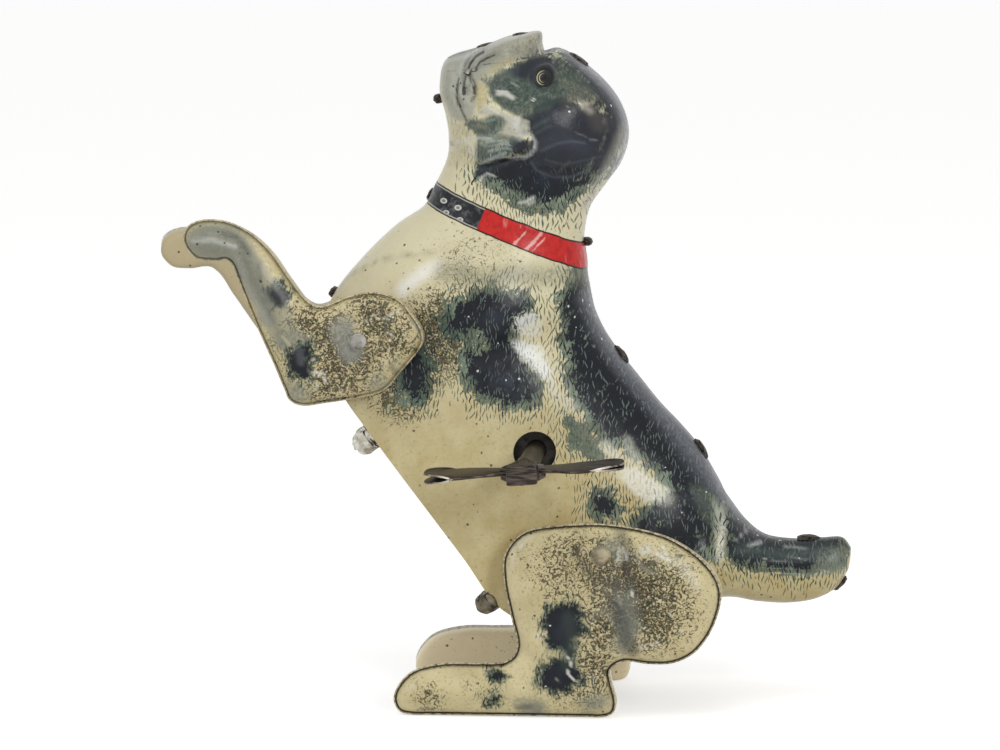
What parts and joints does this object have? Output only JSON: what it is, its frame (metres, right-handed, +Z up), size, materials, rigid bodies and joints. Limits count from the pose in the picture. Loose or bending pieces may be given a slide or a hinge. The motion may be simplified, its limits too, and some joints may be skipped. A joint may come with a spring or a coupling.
{
  "type": "wind-up flipping dog toy",
  "caption": "Old pressed tinplate clockwork dog that sits up begging, with a bow-tie winding key, jointed forelegs and hind legs that a spring motor cocks and snaps.",
  "frame": {"origin": "on the floor, on the dog's centre plane, below the hip axle", "axes": "-X the way the dog faces, +Z up, -Y the dog's left side with the key"},
  "size_m": [0.0932, 0.052, 0.0885],
  "materials": {
    "tinplate_body": "lithographed tinplate, glossy where unworn",
    "worn_steel": "worn steel",
    "spring_steel": "blued spring steel",
    "dark_steel": "dark worn steel",
    "brass": "dull brass"
  },
  "bodies": {
    "body": {"body_left": "tinplate_body", "body_right": "tinplate_body", "shoulder_rod": "worn_steel", "hip_bushes": "brass", "plate_left": "worn_steel", "plate_right": "worn_steel", "plate_pillars": "worn_steel", "mainspring": "spring_steel", "kick_spring": "spring_steel"},
    "hind_legs": {"hind_leg_left": "tinplate_body", "hind_leg_right": "tinplate_body", "hip_axle": "worn_steel", "kick_lever": "worn_steel"},
    "left_foreleg": {"front_leg_left": "tinplate_body"},
    "right_foreleg": {"front_leg_right": "tinplate_body"},
    "great_wheel_group": {"great_wheel": "brass", "click_spring": "spring_steel"},
    "click_pawl": {"click": "brass"},
    "winder": {"key": "dark_steel", "key_arbor": "worn_steel", "ratchet_wheel": "worn_steel"},
    "second_group": {"second_arbor": "worn_steel", "second_wheel": "brass", "snail_cam": "worn_steel"},
    "fly_group": {"fly_arbor": "worn_steel", "governor_fly": "brass"}
  },
  "joints": [
    {"name": "hind_legs_kick", "type": "hinge", "parent": "body", "child": "hind_legs", "pos_m": [0, 0, 0.0215], "axis": [0, 1, 0], "range_deg": [0, 24], "stiffness_Nm_per_rad": 0.02, "springref_deg": -34.38, "deforming": ["kick_spring"]},
    {"name": "front_leg_left_swing", "type": "hinge", "parent": "body", "child": "left_foreleg", "pos_m": [-0.0312, 0, 0.0492], "axis": [0, -1, 0], "range_deg": [-45, 50]},
    {"name": "front_leg_right_swing", "type": "hinge", "parent": "body", "child": "right_foreleg", "pos_m": [-0.0312, 0, 0.0492], "axis": [0, -1, 0], "range_deg": [-45, 50]},
    {"name": "train_run", "type": "hinge", "parent": "body", "child": "great_wheel_group", "pos_m": [-0.009, 0, 0.0341], "axis": [0, 1, 0], "continuous": true},
    {"name": "key_wind", "type": "hinge", "parent": "great_wheel_group", "child": "winder", "pos_m": [-0.009, 0, 0.0341], "axis": [0, 1, 0], "continuous": true},
    {"name": "click_lift", "type": "hinge", "parent": "great_wheel_group", "child": "click_pawl", "pos_m": [-0.0042, 0, 0.0384], "axis": [0, -1, 0], "range_deg": [0, 14], "stiffness_Nm_per_rad": 0.0002, "springref_deg": -5.73, "deforming": ["click_spring"]},
    {"name": "second_turn", "type": "hinge", "parent": "body", "child": "second_group", "pos_m": [-0.01074, 0, 0.02425], "axis": [0, 1, 0], "continuous": true},
    {"name": "fly_turn", "type": "hinge", "parent": "body", "child": "fly_group", "pos_m": [-0.01801, 0, 0.03036], "axis": [0, 1, 0], "continuous": true}
  ],
  "couplings": [
    {"joint": "second_turn", "follows": "train_run", "ratio": -4},
    {"joint": "fly_turn", "follows": "train_run", "ratio": 15}
  ]
}
